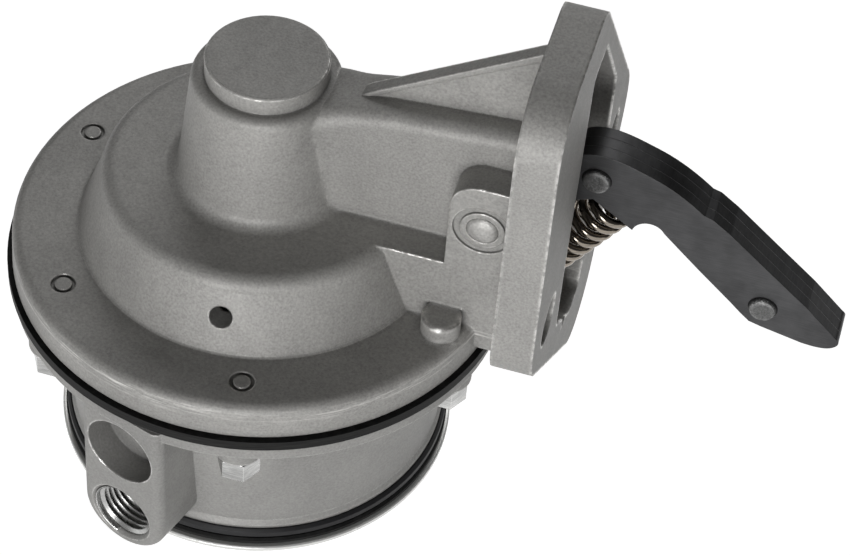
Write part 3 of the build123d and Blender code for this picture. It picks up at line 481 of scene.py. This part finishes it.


# round-wire springs with closed ends, wound between the held end and the end at the moving piece
def wire_spring(node, start, end, side, radius, wire, turns):
    start, end = Vector(start), Vector(end)
    along = (end - start).normalized()
    across = Vector(side).normalized()
    third = along.cross(across)
    length = (end - start).length - 2 * wire
    lead = CLOSED_LEAD * wire * CLOSED_TURNS
    total = turns + CLOSED_TURNS
    steps = int(total * RING_STEPS)
    bm = bmesh.new()
    rows = []
    for index in range(steps + 1):
        turn = total * index / steps
        if turn < CLOSED_TURNS:
            height = lead * turn / CLOSED_TURNS
        elif turn > total - CLOSED_TURNS:
            height = length - lead * (total - turn) / CLOSED_TURNS
        else:
            free = (length - 2 * lead) * (turn - CLOSED_TURNS)
            height = lead + free / (total - 2 * CLOSED_TURNS)
        angle = 2 * math.pi * turn
        out = across * math.cos(angle) + third * math.sin(angle)
        centre = start + along * (wire + height) + out * radius
        row = []
        for k in range(WIRE_SIDES):
            spin = 2 * math.pi * k / WIRE_SIDES
            place = centre + out * (wire * math.cos(spin)) + along * (wire * math.sin(spin))
            row.append(bm.verts.new(place * MM))
        rows.append(row)
    for a, b in zip(rows, rows[1:]):
        for k in range(WIRE_SIDES):
            after = (k + 1) % WIRE_SIDES
            bm.faces.new((a[k], b[k], b[after], a[after]))
    bm.faces.new(rows[0])
    bm.faces.new(tuple(reversed(rows[-1])))
    bmesh.ops.recalc_face_normals(bm, faces=bm.faces)
    slot = slot_of[node]
    piece = link_mesh(node + "_wire", bm, looks[slot], None)
    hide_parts(node)
    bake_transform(piece)


wire_spring(
    "return_spring",
    start=(60.1, 0, 72.6),
    end=(74.4, 0, 94.0),
    side=(21.4, 0, -14.3),
    radius=4.4,
    wire=0.95,
    turns=7.5,
)
wire_spring(
    "diaphragm_spring",
    start=(0, 0, 74.5),
    end=(0, 0, 52.5),
    side=(1, 0, 0),
    radius=14.0,
    wire=1.0,
    turns=4.0,
)
port_way = Vector((math.cos(PORT_ANGLE), math.sin(PORT_ANGLE), 0)) * VALVE_REACH
for node, way, (fixed, moving), body in (
    ("inlet_valve_spring", port_way, INLET_SPRING_ENDS, "inlet_disc"),
    ("outlet_valve_spring", -port_way, OUTLET_SPRING_ENDS, "outlet_disc"),
):
    wire_spring(
        node,
        start=way + Vector((0, 0, fixed)),
        end=way + Vector((0, 0, moving)),
        side=(1, 0, 0),
        radius=3.4,
        wire=0.35,
        turns=3.0,
    )


# floor, world and lamps
def floor():
    mesh = bpy.data.meshes.new("floor")
    bm = bmesh.new()
    bmesh.ops.create_grid(bm, x_segments=1, y_segments=1, size=FLOOR_SIZE)
    bm.to_mesh(mesh)
    bm.free()
    obj = bpy.data.objects.new("floor", mesh)
    scene.collection.objects.link(obj)
    n = Nodes("floor_white")
    n.bsdf.inputs["Base Color"].default_value = (FLOOR_GREY, FLOOR_GREY, FLOOR_GREY, 1)
    n.bsdf.inputs["Roughness"].default_value = 0.8
    n.bsdf.inputs["Specular IOR Level"].default_value = 0.1
    path = n.add("ShaderNodeLightPath")
    both = n.add("ShaderNodeMath", operation="MAXIMUM")
    n.join(path, "Is Camera Ray", both, 0)
    n.join(path, "Is Glossy Ray", both, 1)
    scale = n.add("ShaderNodeMath", operation="MULTIPLY")
    n.join(both, 0, scale, 0)
    scale.inputs[1].default_value = FLOOR_GLOW
    n.bsdf.inputs["Emission Color"].default_value = (1, 1, 1, 1)
    n.join(scale, 0, n.bsdf, "Emission Strength")
    mesh.materials.append(n.mat)


floor()


def world():
    sky = bpy.data.worlds.new("studio")
    sky.use_nodes = True
    scene.world = sky
    tree = sky.node_tree
    tree.nodes.clear()
    out = tree.nodes.new("ShaderNodeOutputWorld")
    light = tree.nodes.new("ShaderNodeBackground")
    seen = tree.nodes.new("ShaderNodeBackground")
    mix = tree.nodes.new("ShaderNodeMixShader")
    path = tree.nodes.new("ShaderNodeLightPath")
    coords = tree.nodes.new("ShaderNodeTexCoord")
    split = tree.nodes.new("ShaderNodeSeparateXYZ")
    ramp = tree.nodes.new("ShaderNodeValToRGB")
    tree.links.new(coords.outputs["Generated"], split.inputs[0])
    tree.links.new(split.outputs["Z"], ramp.inputs["Fac"])
    ramp.color_ramp.elements[0].position = 0.0
    ramp.color_ramp.elements[0].color = (0.80, 0.80, 0.80, 1)
    ramp.color_ramp.elements[1].position = 0.80
    ramp.color_ramp.elements[1].color = (0.35, 0.35, 0.35, 1)
    tree.links.new(ramp.outputs["Color"], light.inputs["Color"])
    light.inputs["Strength"].default_value = WORLD_LIGHT
    seen.inputs["Color"].default_value = (1, 1, 1, 1)
    seen.inputs["Strength"].default_value = 1.0
    tree.links.new(path.outputs["Is Camera Ray"], mix.inputs["Fac"])
    tree.links.new(light.outputs[0], mix.inputs[1])
    tree.links.new(seen.outputs[0], mix.inputs[2])
    tree.links.new(mix.outputs[0], out.inputs["Surface"])


world()


def lamp(name, place, aim, size, power):
    data = bpy.data.lights.new(name, "AREA")
    data.shape = "RECTANGLE"
    data.size, data.size_y = size
    data.energy = power
    obj = bpy.data.objects.new(name, data)
    obj.location = place
    heading = Vector(aim) - Vector(place)
    obj.rotation_euler = heading.to_track_quat("-Z", "Y").to_euler()
    scene.collection.objects.link(obj)


lamp("key", place=(0.06, -0.95, 0.20), aim=(0.02, 0, 0.08), size=(0.5, 0.4), power=6.3)
lamp("back", place=(-0.12, 0.98, 0.85), aim=(0, 0, 0.08), size=(0.9, 0.6), power=4.6)

scene.view_settings.view_transform = "Standard"


bpy.context.view_layer.update()
